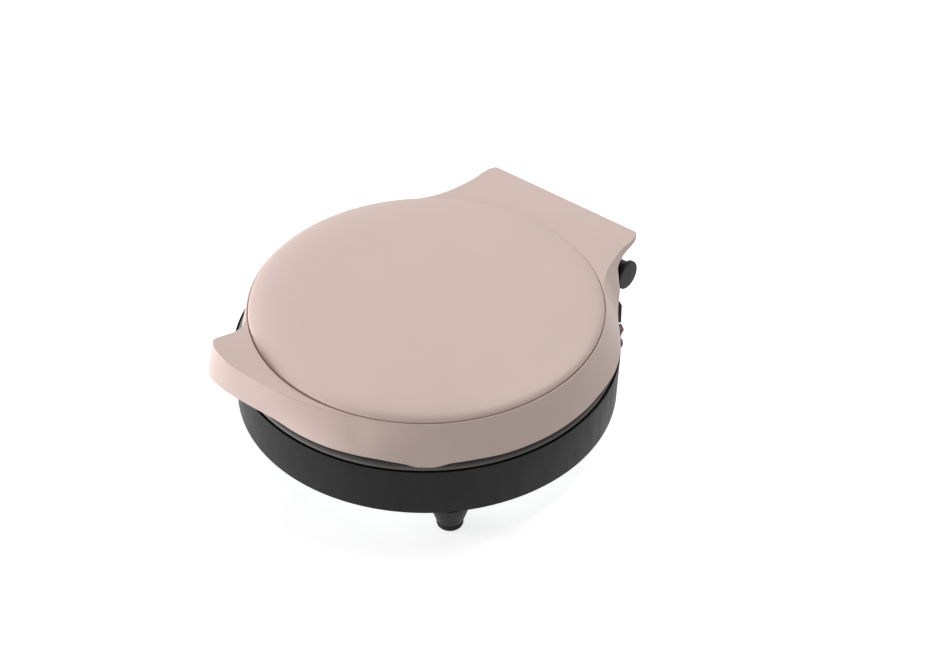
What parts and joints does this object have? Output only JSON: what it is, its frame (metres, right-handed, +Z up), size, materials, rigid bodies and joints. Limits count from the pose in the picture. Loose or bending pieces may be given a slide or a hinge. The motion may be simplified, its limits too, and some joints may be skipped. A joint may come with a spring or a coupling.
{
  "type": "electric pizza maker",
  "caption": "Round countertop pizza maker: black base on splayed feet, and a hinged rose lid with a handle lip at the front and a hinge tab at the back.",
  "frame": {"origin": "middle of the object's box on the worktop it stands on", "axes": "+Z up, the hinge at +Y, the handle at -Y, the switch and lamp at +X"},
  "size_m": [0.3008, 0.3276, 0.1145],
  "materials": {
    "rose_paint": "satin metallic rose paint on a plastic moulding",
    "black_plastic": "satin black moulding",
    "grey_plastic": "satin dark grey moulding",
    "non_stick": "cast aluminium under a dark non-stick coating",
    "heater_steel": "heat-darkened steel tube",
    "sheet_steel": "plain galvanised sheet",
    "zinc_steel": "zinc-plated",
    "ceramic": "matt off-white ceramic",
    "red_rocker": "glossy dark red moulding",
    "smoky_lens": "glossy dull lens, unlit",
    "rubber": "matt black rubber"
  },
  "bodies": {
    "base": {"base_shell": "black_plastic", "base_rim": "grey_plastic", "lower_plate": "non_stick", "lower_heater": "heater_steel", "lower_reflector": "sheet_steel", "lower_thermostat": "ceramic", "lower_thermal_fuse": "ceramic", "lower_plate_screw_1": "zinc_steel", "lower_plate_screw_2": "zinc_steel", "lower_plate_screw_3": "zinc_steel", "bottom_cover": "sheet_steel", "foot_1": "black_plastic", "foot_2": "black_plastic", "foot_3": "black_plastic", "foot_4": "black_plastic", "foot_pad_1": "rubber", "foot_pad_2": "rubber", "foot_pad_3": "rubber", "foot_pad_4": "rubber", "foot_screw_1": "zinc_steel", "foot_screw_2": "zinc_steel", "foot_screw_3": "zinc_steel", "foot_screw_4": "zinc_steel", "hinge_housing": "black_plastic", "housing_screw_left": "zinc_steel", "housing_screw_right": "zinc_steel", "hinge_pin": "zinc_steel", "hinge_cap_left": "black_plastic", "hinge_cap_right": "black_plastic", "switch_body": "black_plastic", "lamp_lens": "smoky_lens", "lamp_bulb": "ceramic", "terminal_block": "ceramic", "cord_gland": "black_plastic"},
    "lid": {"lid_ring": "rose_paint", "lid_cover": "rose_paint", "lid_collar": "black_plastic", "collar_screw_1": "zinc_steel", "collar_screw_2": "zinc_steel", "collar_screw_3": "zinc_steel", "collar_screw_4": "zinc_steel", "upper_plate": "non_stick", "upper_heater": "heater_steel", "upper_reflector": "sheet_steel", "upper_thermostat": "ceramic", "upper_thermal_fuse": "ceramic", "upper_plate_screw_1": "zinc_steel", "upper_plate_screw_2": "zinc_steel", "upper_plate_screw_3": "zinc_steel", "hinge_block": "black_plastic", "hinge_block_screw_left": "zinc_steel", "hinge_block_screw_right": "zinc_steel"},
    "rocker": {"switch_rocker": "red_rocker"}
  },
  "joints": [
    {"name": "lid_hinge", "type": "hinge", "parent": "base", "child": "lid", "pos_m": [0, 0.14355, 0.0785], "axis": [-1, 0, 0], "range_deg": [0, 100]},
    {"name": "switch_pivot", "type": "hinge", "parent": "base", "child": "rocker", "pos_m": [0.09628, 0.10129, 0.0566], "axis": [0.766, -0.6428, 0], "range_deg": [0, 20]}
  ]
}
